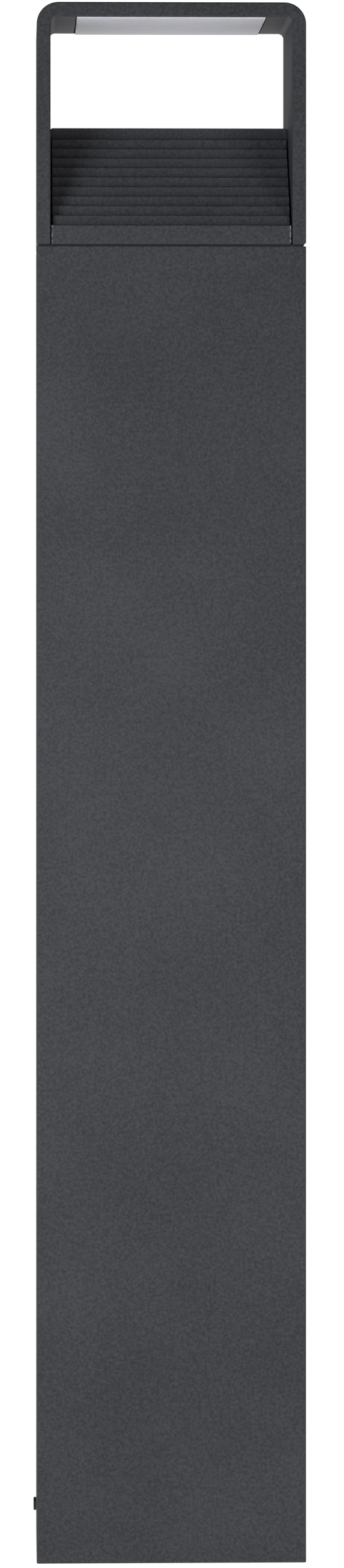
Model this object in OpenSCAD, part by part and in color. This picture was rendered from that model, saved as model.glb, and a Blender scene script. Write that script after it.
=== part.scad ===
// Bollard light: a rectangular aluminium post carries a portal-shaped head.
// The lamp sits in the underside of the head's top bar and shines down on a
// stepped baffle that slopes to the front and to the back. The post stands over
// an anchor base with the driver and the junction box, and one screw on each
// side of the foot holds it there.
// Sizes are in mm. +Z is up, X is the width, the front faces -Y, and z = 0 is
// the ground.

/* [Overall] */
// Height of the light above the ground
total_h = 1000; // [800:10:1300]
// Width of the post and the head
body_w = 172.5; // [166:0.5:220]
// Depth of the post and the head, front to back
body_d = 130; // [120:1:170]

/* [Post] */
// Wall thickness of the extruded post
post_wall = 3; // [2:0.1:4]
// Radius of the post's long outer edges
post_edge_r = 1.5; // [0.5:0.1:3]
// Outer radius of the screw port in each corner of the post
port_r = 4.5; // [4.2:0.1:5]
// Thickness of the plate that closes the post's top
top_plate_t = 5; // [4:0.5:8]
// Dark seam between the post and the head, filled by a gasket
seam_h = 1.3; // [0.8:0.1:2]

/* [Head frame] */
// Thickness of the top bar
bar_t = 9.5; // [9:0.1:14]
// Thickness of each leg
leg_t = 8.9; // [7.8:0.05:12]
// Radius of the head's two outer corners
head_corner_r = 14; // [12:0.5:18]
// Radius of the window's two upper corners
window_corner_r = 3.5; // [1:0.5:5]
// Clear height of the window, from the baffle's ridge to the top bar
window_h = 67.1; // [50:0.1:120]
// How far the window narrows at mid-depth, where the casting mould parts
window_draft = 0.3; // [0:0.05:0.6]

/* [Stepped baffle] */
// Number of steps on each side
step_count = 10; // [6:1:14]
// Height of one step
step_rise = 6.5; // [4:0.1:9]
// Extra height of the ridge over the step below it
ridge_rise = 1.2; // [0:0.1:3]
// Width of the flat ridge, front to back
ridge_w = 4; // [2:0.5:8]
// Height of the plain lip at the front and back
lip_h = 12.3; // [11:0.1:25]
// Wall thickness of the hollow baffle
baffle_wall = 3; // [2:0.1:4]
// Gap between the baffle's ends and the legs at mid-depth
baffle_gap = 0.3; // [0.1:0.1:0.5]

/* [Lamp] */
// Length of the diffuser, across the width
diffuser_l = 121; // [100:1:130]
// Thickness of the diffuser
diffuser_t = 3; // [2:0.1:3.5]
// How far the diffuser stands out of the top bar
diffuser_proud = 0.8; // [0.2:0.1:1]
// Open gap at each end of the diffuser
diffuser_end_gap = 0.8; // [0.2:0.1:1]
// Gap along the front and back of the diffuser
diffuser_side_gap = 0.3; // [0.1:0.1:0.5]
// Rim of the top bar in front of and behind the diffuser
rim_t = 2; // [1.5:0.1:4]
// Thickness of the top bar's skin over the lamp
skin_t = 2.8; // [2.6:0.1:4]
// Thickness of the silicone seal behind the diffuser
seal_t = 1; // [0.5:0.1:1.2]
// Width of the ledge that carries the seal
ledge_w = 4; // [2:0.5:6]
// Length of the circuit board
board_l = 104; // [90:1:110]
// Width of the circuit board, front to back
board_w = 60; // [50:1:90]
// Thickness of the circuit board
board_t = 1.2; // [1:0.1:1.6]
// Number of light-emitting chips in a row
chip_columns = 9; // [3:1:9]
// Number of rows of chips
chip_rows = 3; // [1:1:3]
// Distance between chips in a row
chip_pitch_x = 10; // [6:0.5:10]
// Distance between rows of chips
chip_pitch_y = 18; // [6:0.5:20]

/* [Anchor base] */
// Thickness of the anchor plate
base_t = 8; // [7:0.5:12]
// Clearance between the anchor plate and the post's inside
base_gap = 0.5; // [0.3:0.1:1]
// Distance between the anchor bolts across the width
anchor_x = 120; // [118:1:124]
// Distance between the anchor bolts front to back
anchor_y = 80; // [70:1:84]
// Diameter of the anchor bolt holes
anchor_hole_d = 11; // [9:0.5:12]
// Diameter of the hole that the supply cable comes up through
cable_hole_d = 36; // [30:1:38]
// Height of the side screws above the ground
side_screw_z = 27.7; // [20:0.1:34]
// Thickness of the two upright lugs that the side screws enter
lug_t = 12; // [8:0.5:12]
// Width of each lug
lug_w = 40; // [20:1:50]

/* [Gear] */
// Width of the gear tray
tray_w = 104; // [96:1:110]
// Thickness of the tray's sheet metal
tray_t = 2; // [1.5:0.1:3]
// Width of the junction box
box_w = 90; // [88:1:96]
// Height of the junction box
box_h = 80; // [76:1:90]
// Depth of the junction box with its lid
box_d = 40; // [38:1:46]
// Height of the junction box's underside above the ground
box_z = 62; // [58:1:70]
// Wall thickness of the junction box
box_wall = 2.5; // [2:0.1:3]
// Width of the driver
driver_w = 50; // [40:1:54]
// Length of the driver, along the post
driver_l = 150; // [110:1:170]
// Thickness of the driver
driver_d = 30; // [24:1:36]

/* [Wiring] */
// Radius of the two-core lead from the lamp
lead_r = 1; // [0.8:0.1:1.1]
// Radius of the three-core lead between the junction box and the driver
mains_r = 3.4; // [3:0.1:3.8]
// Radius of the earth wire
earth_r = 1.5; // [1:0.1:1.8]
// Number of clips that hold the lamp lead to the post's wall
clip_count = 4; // [2:1:6]

/* [Screws] */
// Diameter of a side screw's head
side_head_d = 8.5; // [7.5:0.1:9.5]
// Height of a side screw's head
side_head_h = 1.9; // [1.5:0.1:3]
// Clearance between a screw's shank and the thread it is turned into
thread_gap = 0.05; // [0.02:0.01:0.1]
// Clearance between a screw's shank and a plain hole
hole_gap = 0.3; // [0.2:0.05:0.4]

/* [Hidden] */
$fn = 64;
// A cutter runs this far past the face it opens.
past = 1;
coat = "#46474b";
metal = "#b8babd";
steel = "#8f9296";
rubber = "#1c1d1f";
plastic = "#d9dadc";

// Screw sizes: shank radius, head radius, head height, key width.
m25 = [1.25, 2.2, 1.3, 1.5];
m3 = [1.5, 2.8, 1.6, 2];
m4 = [2, 3.6, 2.4, 2.5];
m5 = [2.5, 4.6, 2.8, 3];
side_m5 = [2.5, side_head_d / 2, side_head_h, 3];

// Post
post_in_w = body_w - 2 * post_wall;
post_in_d = body_d - 2 * post_wall;
post_in_r = 1;
port_inset = port_r + 0.5;
port_x = post_in_w / 2 - port_inset;
port_y = post_in_d / 2 - port_inset;
plate_gap = 0.3;

// Head: the baffle's height and the window give the head its height.
baffle_h = lip_h + step_count * step_rise + ridge_rise;
head_h = baffle_h + window_h + bar_t;
head_z = total_h - head_h;
post_h = head_z - seam_h;
lip_z = head_z + lip_h;
ridge_z = head_z + baffle_h;
bar_z = total_h - bar_t;
window_w = body_w - 2 * leg_t;
baffle_l = window_w - 2 * window_draft - 2 * baffle_gap;
step_run = (body_d / 2 - ridge_w / 2) / step_count;
boss_r = 5;
boss_x = baffle_l / 2 - 32;
boss_y = body_d / 2 - 29;
leg_screw_y = body_d / 4;
leg_screw_z = head_z + 9;

// Lamp pocket in the top bar
pocket_l = diffuser_l + 2 * diffuser_end_gap;
pocket_d = body_d - 2 * rim_t;
diffuser_d = pocket_d - 2 * diffuser_side_gap;
diffuser_z = bar_z - diffuser_proud;
seal_z = diffuser_z + diffuser_t;
ledge_z = seal_z + seal_t;
recess_l = pocket_l - 2 * ledge_w;
recess_d = pocket_d - 2 * ledge_w;
recess_z = total_h - skin_t;
board_z = recess_z - board_t;
board_screw_x = board_l / 2 - 5;
board_screw_y = board_w / 2 - 5;
board_screw_l = board_t + skin_t - 1;
chip_s = 3;
chip_t = 0.7;

// Lamp lead: along the top bar, down inside the right leg and the post's wall
duct_gap = 0.4;
duct_r = lead_r + duct_gap;
lead_z = ledge_z + duct_r + 0.1;
lead_x = body_w / 2 - 5.25;
lead_bend = 5;
connector_l = 8;
connector_w = 7;
connector_end = board_l / 2;
grommet_r = body_w / 2 - post_wall - lead_x - 0.05;

// Gear on the tray, from the bottom up
tray_y = box_d / 2;
foot_w = 84;
foot_d = 26;
tray_screw_x = 32;
tray_screw_y = tray_y + tray_t + 13;
gear_x = driver_w / 2;
box_lid_t = 3;
box_seal_t = 1;
box_front = tray_y - box_d;
box_rim = box_front + box_lid_t + box_seal_t;
box_floor = tray_y - box_wall;
box_top = box_z + box_h;
lid_screw_x = box_w / 2 - 6;
lid_screw_dz = box_h / 2 - 6;
box_mid_z = box_z + box_h / 2;
lid_post_r = 4.5;
link_flange = 7;
driver_z = box_top + 28;
driver_top = driver_z + driver_l;
ear_l = 12;
ear_t = 3;
socket_z = driver_top + 25;
socket_l = 30;
plug_nose = 8;
plug_z = socket_z + socket_l;
plug_l = 34;
plug_r = 7;
s_bend_r = 10;
s_bend_z = plug_z + plug_l + 30;
tray_top = plug_z + plug_l;

// Junction box fittings
gland_bore_r = 5.5;
gland_hex = 24;
gland_thread_r = 10;
gland_nose_r = 9;
gland_hex_h = 8;
gland_nose_h = 12;
gland_cap_h = 20;
gland_body_z = box_z - gland_hex_h - gland_nose_h;
gland_cap_z = gland_body_z - gland_cap_h / 2;
gland_top = box_z + box_wall + 8;
terminal_x = 9;
terminal_w = 50;
terminal_h = 16;
terminal_d = 16;
terminal_z = box_mid_z - terminal_h / 2;
poles = 3;
pole_pitch = 14;
earth_x = -28;
earth_bend = 6;
earth_z = base_t + 2.4;
earth_lug_x = earth_x - 19;

// Anchor base
base_w = post_in_w - 2 * base_gap;
base_d = post_in_d - 2 * base_gap;
base_notch = port_inset + port_r - base_gap + 0.5;
lug_h = side_screw_z + 14;
side_screw_l = post_wall + base_gap + lug_t;

// ---- Helpers ----

// Flat outline in X and Z, made solid from y = y0 to y = y1.
module along_y(y0, y1) {
    translate([0, y1, 0])
        rotate([90, 0, 0])
            linear_extrude(y1 - y0)
                children();
}

// Flat outline in Y and Z, made solid from x = x0 to x = x1.
module along_x(x0, x1) {
    translate([x0, 0, 0])
        rotate([90, 0, 90])
            linear_extrude(x1 - x0)
                children();
}

// Rectangle with true round corners.
module rounded(w, d, r) {
    square([w - 2 * r, d], center = true);
    square([w, d - 2 * r], center = true);
    for (x = [-1, 1], y = [-1, 1])
        translate([x * (w / 2 - r), y * (d / 2 - r)])
            circle(r);
}

// Screw along +Z: the underside of its head lies at z = 0.
module screw(size, length) {
    difference() {
        union() {
            translate([0, 0, -size[2]])
                cylinder(r = size[1], h = size[2]);
            cylinder(r = size[0] - thread_gap, h = length);
        }
        translate([0, 0, -size[2] - past])
            cylinder(r = size[3] / 2 / cos(30), h = size[2] * 0.6 + past, $fn = 6);
    }
}

// Countersunk screw along -Z: its flat head lies at z = 0.
module sunk_screw(size, length) {
    difference() {
        union() {
            translate([0, 0, -length])
                cylinder(r = size[0] - thread_gap, h = length);
            translate([0, 0, -(size[1] - size[0])])
                cylinder(r1 = size[0] - thread_gap, r2 = size[1], h = size[1] - size[0]);
        }
        translate([0, 0, -1.2])
            cylinder(r = size[3] / 2 / cos(30), h = 1.2 + past, $fn = 6);
    }
}

// Straight and bent stretches of a lead in the XZ plane.
module run_x(x0, x1, z, r) {
    translate([x0, 0, z])
        rotate([0, 90, 0])
            cylinder(r = r, h = x1 - x0);
}

module run_z(x, z0, z1, r) {
    translate([x, 0, z0])
        cylinder(r = r, h = z1 - z0);
}

// Quarter turn about (x, z), from the angle start towards the next one.
module quarter(x, z, bend_r, start, r) {
    translate([x, 0, z])
        rotate([90, 0, 0])
            rotate([0, 0, start])
                rotate_extrude(angle = 90)
                    translate([bend_r, 0])
                        circle(r);
}

module at_corners(x, y) {
    for (sx = [-1, 1], sy = [-1, 1])
        translate([sx * x, sy * y, 0])
            children();
}

module on_sides() {
    for (side = [0, 1])
        rotate([0, 0, side * 180])
            children();
}

// ---- Post ----

// Extruded tube with a screw port in each inner corner.
module post_tube() {
    color(coat)
        difference() {
            union() {
                linear_extrude(post_h)
                    difference() {
                        rounded(body_w, body_d, post_edge_r);
                        rounded(post_in_w, post_in_d, post_in_r);
                    }
                linear_extrude(post_h - top_plate_t)
                    for (sx = [-1, 1], sy = [-1, 1])
                        scale([sx, sy])
                            translate([port_x, port_y]) {
                                circle(port_r);
                                translate([0, -port_r])
                                    square([port_inset + post_in_r, port_r + port_inset + post_in_r]);
                                translate([-port_r, 0])
                                    square([port_r + port_inset + post_in_r, port_inset + post_in_r]);
                            }
            }
            at_corners(port_x, port_y)
                translate([0, 0, -past])
                    cylinder(r = m4[0], h = post_h);
            on_sides()
                translate([post_in_w / 2 - past, 0, side_screw_z])
                    rotate([0, 90, 0])
                        cylinder(r = side_m5[0] + hole_gap, h = post_wall + 2 * past);
        }
}

// Plate that drops into the post's top, rests on the ports and carries the head.
module top_plate() {
    color(metal)
        difference() {
            translate([0, 0, post_h - top_plate_t])
                linear_extrude(top_plate_t)
                    difference() {
                        rounded(post_in_w - 2 * plate_gap, post_in_d - 2 * plate_gap, post_in_r);
                        translate([lead_x, 0])
                            circle(grommet_r + 0.05);
                        translate([lead_x, -grommet_r - 0.05])
                            square([grommet_r + past, 2 * grommet_r + 0.1]);
                    }
            at_corners(port_x, port_y) {
                translate([0, 0, post_h - top_plate_t - past])
                    cylinder(r = m4[0] + hole_gap, h = top_plate_t + 2 * past);
                translate([0, 0, post_h - (m4[1] - m4[0]) - hole_gap])
                    cylinder(r1 = m4[0], r2 = m4[1] + hole_gap, h = m4[1] - m4[0] + hole_gap);
            }
            at_corners(boss_x, boss_y)
                translate([0, 0, post_h - top_plate_t - past])
                    cylinder(r = m5[0] + hole_gap, h = top_plate_t + 2 * past);
        }
}

module top_plate_screws() {
    color(steel)
        at_corners(port_x, port_y)
            translate([0, 0, post_h - 0.1])
                sunk_screw(m4, top_plate_t + 14);
}

// Gasket ring that fills the seam between the post and the head.
module head_gasket() {
    inset = 1.5;
    color(rubber)
        translate([0, 0, post_h])
            linear_extrude(seam_h)
                difference() {
                    rounded(body_w - 2 * inset, body_d - 2 * inset, 1);
                    square([baffle_l - 2 * baffle_wall - 2, body_d - 2 * baffle_wall - 4], center = true);
                    translate([lead_x, 0])
                        circle(duct_r);
                }
}

// ---- Head ----

// Front view of the head without its window.
module head_outline() {
    translate([-body_w / 2, head_z])
        square([body_w, head_h - head_corner_r]);
    translate([-body_w / 2 + head_corner_r, head_z])
        square([body_w - 2 * head_corner_r, head_h]);
    for (side = [-1, 1])
        translate([side * (body_w / 2 - head_corner_r), total_h - head_corner_r])
            circle(head_corner_r);
}

// Front view of the space between the legs.
module window_outline() {
    translate([-window_w / 2, head_z - past])
        square([window_w, bar_z - window_corner_r - head_z + past]);
    translate([-window_w / 2 + window_corner_r, head_z - past])
        square([window_w - 2 * window_corner_r, bar_z - head_z + past]);
    for (side = [-1, 1])
        translate([side * (window_w / 2 - window_corner_r), bar_z - window_corner_r])
            circle(window_corner_r);
}

// The window narrows towards mid-depth on its sides and under the bar.
module window_cut() {
    half_d = body_d / 2 + past;
    half_w = window_w / 2 + window_draft * 2 * past / body_d;
    waist = window_w / 2 - window_draft;
    intersection() {
        along_y(-half_d, half_d)
            window_outline();
        translate([0, 0, head_z - 2 * past])
            linear_extrude(head_h)
                polygon([
                    [-half_w, -half_d], [half_w, -half_d], [waist, 0],
                    [half_w, half_d], [-half_w, half_d], [-waist, 0]
                ]);
        along_x(-body_w / 2, body_w / 2)
            polygon([
                [-half_d, head_z - 2 * past], [half_d, head_z - 2 * past], [half_d, bar_z],
                [0, bar_z - window_draft], [-half_d, bar_z]
            ]);
    }
}

// Cast portal: two legs and the top bar, with the lamp pocket and the lead's duct.
module head_frame() {
    color(coat)
        difference() {
            along_y(-body_d / 2, body_d / 2)
                head_outline();
            window_cut();
            translate([0, 0, bar_z - 2 * past])
                linear_extrude(ledge_z - bar_z + 2 * past)
                    square([pocket_l, pocket_d], center = true);
            translate([0, 0, ledge_z - past])
                linear_extrude(recess_z - ledge_z + past)
                    square([recess_l, recess_d], center = true);
            at_corners(board_screw_x, board_screw_y)
                translate([0, 0, recess_z - past])
                    cylinder(r = m25[0], h = board_screw_l - board_t + past);
            run_x(recess_l / 2 - past, lead_x - lead_bend, lead_z, duct_r);
            quarter(lead_x - lead_bend, lead_z - lead_bend, lead_bend, 0, duct_r);
            run_z(lead_x, head_z - past, lead_z - lead_bend, duct_r);
            for (y = [-leg_screw_y, leg_screw_y])
                on_sides()
                    translate([window_w / 2 - past, y, leg_screw_z])
                        rotate([0, 90, 0])
                            cylinder(r = m4[0], h = past + 5);
        }
}

// Side view of the baffle: a ridge with equal steps down to a lip on both sides.
function half_steps() = [
    for (i = [0 : step_count])
        for (end = [0, 1])
            [ridge_w / 2 + i * step_run,
             i == step_count && end == 1 ? head_z
             : end == 0 ? (i == 0 ? ridge_z : lip_z + (step_count - i) * step_rise)
             : lip_z + (step_count - 1 - i) * step_rise]
];

function mirrored(points) = [
    for (i = [len(points) - 1 : -1 : 0])
        [-points[i][0], points[i][1]]
];

// Cast baffle that fills the foot of the portal: hollow below, closed at its ends.
module stepped_baffle() {
    roof_drop = baffle_wall * sqrt(2);
    slope = step_rise / step_run;
    inner_y = body_d / 2 - baffle_wall;
    peak_z = lip_z + (step_count - 1) * step_rise + slope * ridge_w / 2 - roof_drop;
    eave_z = peak_z - slope * inner_y;
    color(coat)
        difference() {
            along_x(-baffle_l / 2, baffle_l / 2)
                polygon(concat(half_steps(), mirrored(half_steps())));
            difference() {
                along_x(-baffle_l / 2 + baffle_wall, baffle_l / 2 - baffle_wall)
                    polygon([
                        [-inner_y, head_z - past], [inner_y, head_z - past], [inner_y, eave_z],
                        [0, peak_z], [-inner_y, eave_z]
                    ]);
                at_corners(boss_x, boss_y)
                    translate([0, 0, head_z - 2 * past])
                        cylinder(r = boss_r, h = head_h);
            }
            at_corners(boss_x, boss_y)
                translate([0, 0, head_z - past])
                    cylinder(r = m5[0], h = 16 + past);
            for (y = [-leg_screw_y, leg_screw_y])
                on_sides()
                    translate([baffle_l / 2 - baffle_wall - past, y, leg_screw_z])
                        rotate([0, 90, 0])
                            cylinder(r = m4[0] + hole_gap, h = baffle_wall + 2 * past);
        }
    // Spacers under the bosses carry the head on the plate, so the gasket isn't crushed.
    color(coat)
        at_corners(boss_x, boss_y)
            translate([0, 0, post_h])
                difference() {
                    cylinder(r = boss_r, h = seam_h);
                    translate([0, 0, -past])
                        cylinder(r = m5[0], h = seam_h + 2 * past);
                }
}

// Screws from inside the baffle into the legs.
module leg_screws() {
    color(steel)
        for (y = [-leg_screw_y, leg_screw_y])
            on_sides()
                translate([baffle_l / 2 - baffle_wall, y, leg_screw_z])
                    rotate([0, 90, 0])
                        screw(m4, baffle_wall + baffle_gap + 5);
}

// Screws from below the top plate into the baffle's bosses.
module head_screws() {
    color(steel)
        at_corners(boss_x, boss_y)
            translate([0, 0, post_h - top_plate_t])
                screw(m5, top_plate_t + seam_h + 12);
}

// ---- Lamp ----

module led_board() {
    color("#e9ebec")
        translate([0, 0, board_z])
            difference() {
                linear_extrude(board_t)
                    rounded(board_l, board_w, 2);
                at_corners(board_screw_x, board_screw_y)
                    translate([0, 0, -past])
                        cylinder(r = m25[0] + 0.15, h = board_t + 2 * past);
            }
}

module led_chips() {
    color("#f2c84b")
        for (i = [0 : chip_columns - 1], j = [0 : chip_rows - 1])
            translate([
                (i - (chip_columns - 1) / 2) * chip_pitch_x,
                (j - (chip_rows - 1) / 2) * chip_pitch_y,
                board_z - chip_t / 2
            ])
                cube([chip_s, chip_s, chip_t], center = true);
}

module led_board_screws() {
    color(steel)
        at_corners(board_screw_x, board_screw_y)
            translate([0, 0, board_z])
                screw(m25, board_screw_l - 0.2);
}

// Small socket at the board's right end that takes the lamp lead.
module led_connector() {
    color("white")
        translate([connector_end - connector_l, -connector_w / 2, ledge_z - 0.4])
            cube([connector_l, connector_w, board_z - ledge_z + 0.4]);
}

module diffuser() {
    color("#d6d5db")
        translate([0, 0, diffuser_z])
            linear_extrude(diffuser_t)
                rounded(diffuser_l, diffuser_d, 1);
}

module diffuser_seal() {
    color("#efefef")
        translate([0, 0, seal_z])
            linear_extrude(seal_t)
                difference() {
                    rounded(diffuser_l - 1, diffuser_d - 1, 1);
                    square([recess_l, recess_d], center = true);
                }
}

// ---- Lamp lead ----

// Lead from the board's socket down the leg and the post's wall to its plug.
module led_lead() {
    s_x = lead_x - s_bend_r;
    color(rubber) {
        run_x(connector_end + 0.1, lead_x - lead_bend, lead_z, lead_r);
        quarter(lead_x - lead_bend, lead_z - lead_bend, lead_bend, 0, lead_r);
        run_z(lead_x, s_bend_z + s_bend_r, lead_z - lead_bend, lead_r);
        quarter(s_x, s_bend_z + s_bend_r, s_bend_r, 270, lead_r);
        run_x(gear_x + s_bend_r, s_x, s_bend_z, lead_r);
        quarter(gear_x + s_bend_r, s_bend_z - s_bend_r, s_bend_r, 90, lead_r);
        run_z(gear_x, plug_z + plug_l, s_bend_z - s_bend_r, lead_r);
    }
}

module lead_grommet() {
    color(rubber)
        translate([lead_x, 0, post_h - top_plate_t])
            difference() {
                cylinder(r = grommet_r, h = top_plate_t);
                translate([0, 0, -past])
                    cylinder(r = lead_r + thread_gap, h = top_plate_t + 2 * past);
            }
}

// Clips on the post's right wall, spaced evenly over the lead's straight run.
module lead_clips() {
    clip_w = 7;
    clip_h = 10;
    low = s_bend_z + 30;
    high = post_h - top_plate_t - 30;
    color(rubber)
        for (i = [0 : clip_count - 1])
            translate([0, 0, low + i * (high - low) / (clip_count - 1)])
                difference() {
                    translate([lead_x - 2.5, -clip_w / 2, -clip_h / 2])
                        cube([post_in_w / 2 - lead_x + 2.5, clip_w, clip_h]);
                    run_z(lead_x, -clip_h, clip_h, lead_r + thread_gap);
                    translate([lead_x - 2.5 - past, -lead_r * 0.7, -clip_h])
                        cube([2.5 + past, lead_r * 1.4, 2 * clip_h]);
                }
}

module led_plug() {
    color(rubber)
        translate([gear_x, 0, 0]) {
            translate([0, 0, plug_z - plug_nose])
                cylinder(r = plug_r - 2.1, h = plug_nose + past);
            translate([0, 0, plug_z])
                cylinder(r = plug_r, h = plug_l - 10);
            translate([0, 0, plug_z + plug_l - 10])
                cylinder(r1 = plug_r - 2, r2 = lead_r + 1, h = 10);
        }
}

module led_socket() {
    color(rubber)
        translate([gear_x, 0, socket_z])
            difference() {
                cylinder(r = plug_r, h = socket_l);
                translate([0, 0, socket_l - plug_nose - 0.5])
                    cylinder(r = plug_r - 2, h = plug_nose + 0.5 + past);
            }
}

module socket_lead() {
    color(rubber)
        run_z(gear_x, driver_top, socket_z, 2);
}

// Clip on the tray that holds the plug.
module plug_clip() {
    color(plastic)
        difference() {
            translate([gear_x - plug_r - 3, -3, plug_z + 8])
                cube([2 * plug_r + 6, tray_y + 3, 10]);
            run_z(gear_x, plug_z, plug_z + plug_l, plug_r + thread_gap);
        }
}

// ---- Anchor base ----

// Plate on the foundation with a lug on each side for the side screws.
module anchor_base() {
    color(metal)
        difference() {
            union() {
                linear_extrude(base_t)
                    difference() {
                        square([base_w, base_d], center = true);
                        for (sx = [-1, 1], sy = [-1, 1])
                            translate([sx * base_w / 2, sy * base_d / 2])
                                square(2 * base_notch, center = true);
                    }
                on_sides()
                    along_x(base_w / 2 - lug_t, base_w / 2) {
                        translate([-lug_w / 2, 0])
                            square([lug_w, lug_h - 8]);
                        translate([-lug_w / 2 + 8, 0])
                            square([lug_w - 16, lug_h]);
                        for (side = [-1, 1])
                            translate([side * (lug_w / 2 - 8), lug_h - 8])
                                circle(8);
                    }
            }
            at_corners(anchor_x / 2, anchor_y / 2)
                translate([0, 0, -past])
                    cylinder(d = anchor_hole_d, h = base_t + 2 * past);
            translate([0, 0, -past])
                cylinder(d = cable_hole_d, h = base_t + 2 * past);
            for (x = [-tray_screw_x, tray_screw_x])
                translate([x, tray_screw_y, 1])
                    cylinder(r = m5[0], h = base_t);
            translate([earth_lug_x, 0, 1])
                cylinder(r = m5[0], h = base_t);
            on_sides()
                translate([base_w / 2 - lug_t - past, 0, side_screw_z])
                    rotate([0, 90, 0])
                        cylinder(r = side_m5[0], h = lug_t + 2 * past);
        }
}

module side_screws() {
    color("#202124")
        on_sides()
            translate([body_w / 2, 0, side_screw_z])
                rotate([0, -90, 0])
                    screw(side_m5, side_screw_l);
}

// ---- Gear tray ----

// Bent sheet: a foot on the anchor base and an upright that carries the gear.
module gear_tray() {
    color(metal)
        difference() {
            union() {
                translate([-foot_w / 2, tray_y, base_t])
                    cube([foot_w, foot_d, tray_t]);
                translate([-tray_w / 2, tray_y, base_t])
                    cube([tray_w, tray_t, tray_top - base_t]);
                for (x = [-tray_w / 2, tray_w / 2 - tray_t])
                    translate([x, tray_y, box_z])
                        cube([tray_t, 12, tray_top - box_z]);
            }
            for (x = [-tray_screw_x, tray_screw_x])
                translate([x, tray_screw_y, base_t - past])
                    cylinder(r = m5[0] + hole_gap, h = tray_t + 2 * past);
            tray_holes();
        }
}

// Threaded holes in the upright for the box and the driver.
module tray_holes() {
    for (side = [-1, 1])
        translate([side * 30, tray_y - past, box_mid_z + side * 26])
            rotate([-90, 0, 0])
                cylinder(r = m4[0], h = tray_t + 2 * past);
    for (z = [driver_z - ear_l / 2, driver_top + ear_l / 2])
        for (x = [-driver_w / 4, driver_w / 4])
            translate([gear_x + x, tray_y - past, z])
                rotate([-90, 0, 0])
                    cylinder(r = m4[0], h = tray_t + 2 * past);
}

module tray_screws() {
    color(steel)
        for (x = [-tray_screw_x, tray_screw_x])
            translate([x, tray_screw_y, base_t + tray_t])
                rotate([180, 0, 0])
                    screw(m5, tray_t + base_t - 2);
}

// Potted driver with a mounting ear at each end.
module led_driver() {
    color("#e4e5e6")
        difference() {
            union() {
                translate([gear_x, tray_y - driver_d / 2, driver_z])
                    linear_extrude(driver_l)
                        rounded(driver_w, driver_d, 2);
                translate([gear_x - driver_w / 2, tray_y - ear_t, driver_z - ear_l])
                    cube([driver_w, ear_t, driver_l + 2 * ear_l]);
            }
            for (z = [driver_z - ear_l / 2, driver_top + ear_l / 2])
                for (x = [-driver_w / 4, driver_w / 4])
                    translate([gear_x + x, tray_y - ear_t - past, z])
                        rotate([-90, 0, 0])
                            cylinder(r = m4[0] + hole_gap, h = ear_t + 2 * past);
        }
}

module driver_screws() {
    color(steel)
        for (z = [driver_z - ear_l / 2, driver_top + ear_l / 2])
            for (x = [-driver_w / 4, driver_w / 4])
                translate([gear_x + x, tray_y - ear_t, z])
                    rotate([-90, 0, 0])
                        screw(m4, ear_t + tray_t + 2);
}

// Three-core lead from the terminal block through its gland to the driver.
module driver_lead() {
    color(rubber)
        run_z(gear_x, terminal_z + terminal_h, driver_z, mains_r);
}

// ---- Junction box ----

module box_outline(inset) {
    translate([0, box_mid_z])
        rounded(box_w - 2 * inset, box_h - 2 * inset, 3);
}

module at_lid_screws() {
    for (x = [-lid_screw_x, lid_screw_x], dz = [-lid_screw_dz, lid_screw_dz])
        translate([x, 0, box_mid_z + dz])
            children();
}

module junction_box() {
    color(plastic)
        difference() {
            along_y(box_rim, tray_y)
                box_outline(0);
            difference() {
                along_y(box_rim - past, box_floor)
                    box_outline(box_wall);
                at_lid_screws()
                    translate([0, box_floor, 0])
                        rotate([90, 0, 0])
                            cylinder(r = lid_post_r, h = box_d);
            }
            at_lid_screws()
                translate([0, box_rim + 12, 0])
                    rotate([90, 0, 0])
                        cylinder(r = m3[0], h = 12 + past);
            for (side = [-1, 1])
                translate([side * 30, box_floor - past, box_mid_z + side * 26])
                    rotate([-90, 0, 0])
                        cylinder(r = m4[0] + hole_gap, h = box_wall + 2 * past);
            run_z(0, box_z - past, box_z + box_wall + past, gland_thread_r + hole_gap);
            run_z(gear_x, box_top - box_wall - past, box_top + past, mains_r + 2);
            run_z(earth_x, box_z - past, box_z + box_wall + past, earth_r + 1.5);
        }
}

module lid_seal() {
    color(rubber)
        along_y(box_rim - box_seal_t, box_rim)
            difference() {
                box_outline(0.4);
                box_outline(box_wall);
            }
}

module junction_lid() {
    color(plastic)
        difference() {
            along_y(box_front, box_front + box_lid_t)
                box_outline(0);
            at_lid_screws()
                translate([0, box_rim, 0])
                    rotate([90, 0, 0])
                        cylinder(r = m3[0] + hole_gap, h = box_d);
        }
}

module lid_screws() {
    color(steel)
        at_lid_screws()
            translate([0, box_front, 0])
                rotate([-90, 0, 0])
                    screw(m3, box_lid_t + box_seal_t + 10);
}

module box_screws() {
    color(steel)
        for (side = [-1, 1])
            translate([side * 30, box_floor, box_mid_z + side * 26])
                rotate([-90, 0, 0])
                    screw(m4, box_wall + tray_t + 2);
}

// Block with a wire hole above and below each pole and two screw wells in front.
module terminal_block() {
    color("#f4f4f0")
        difference() {
            translate([terminal_x - terminal_w / 2, box_floor - terminal_d, terminal_z])
                cube([terminal_w, terminal_d, terminal_h]);
            at_poles() {
                translate([0, box_floor - terminal_d / 2 + 2, terminal_z - past])
                    cylinder(r = 1.8, h = 5 + past);
                translate([0, box_floor - terminal_d / 2 + 2, terminal_z + terminal_h - 5])
                    cylinder(r = 1.8, h = 5 + past);
            }
            at_terminal_screws()
                rotate([-90, 0, 0])
                    translate([0, 0, -past])
                        cylinder(r = 2.2, h = 7 + past);
        }
}

module at_poles() {
    for (i = [0 : poles - 1])
        translate([terminal_x - 4 + (i - (poles - 1) / 2) * pole_pitch, 0, 0])
            children();
}

module at_terminal_screws() {
    at_poles()
        for (dz = [-4.5, 4.5])
            translate([0, box_floor - terminal_d, terminal_z + terminal_h / 2 + dz])
                children();
}

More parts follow.
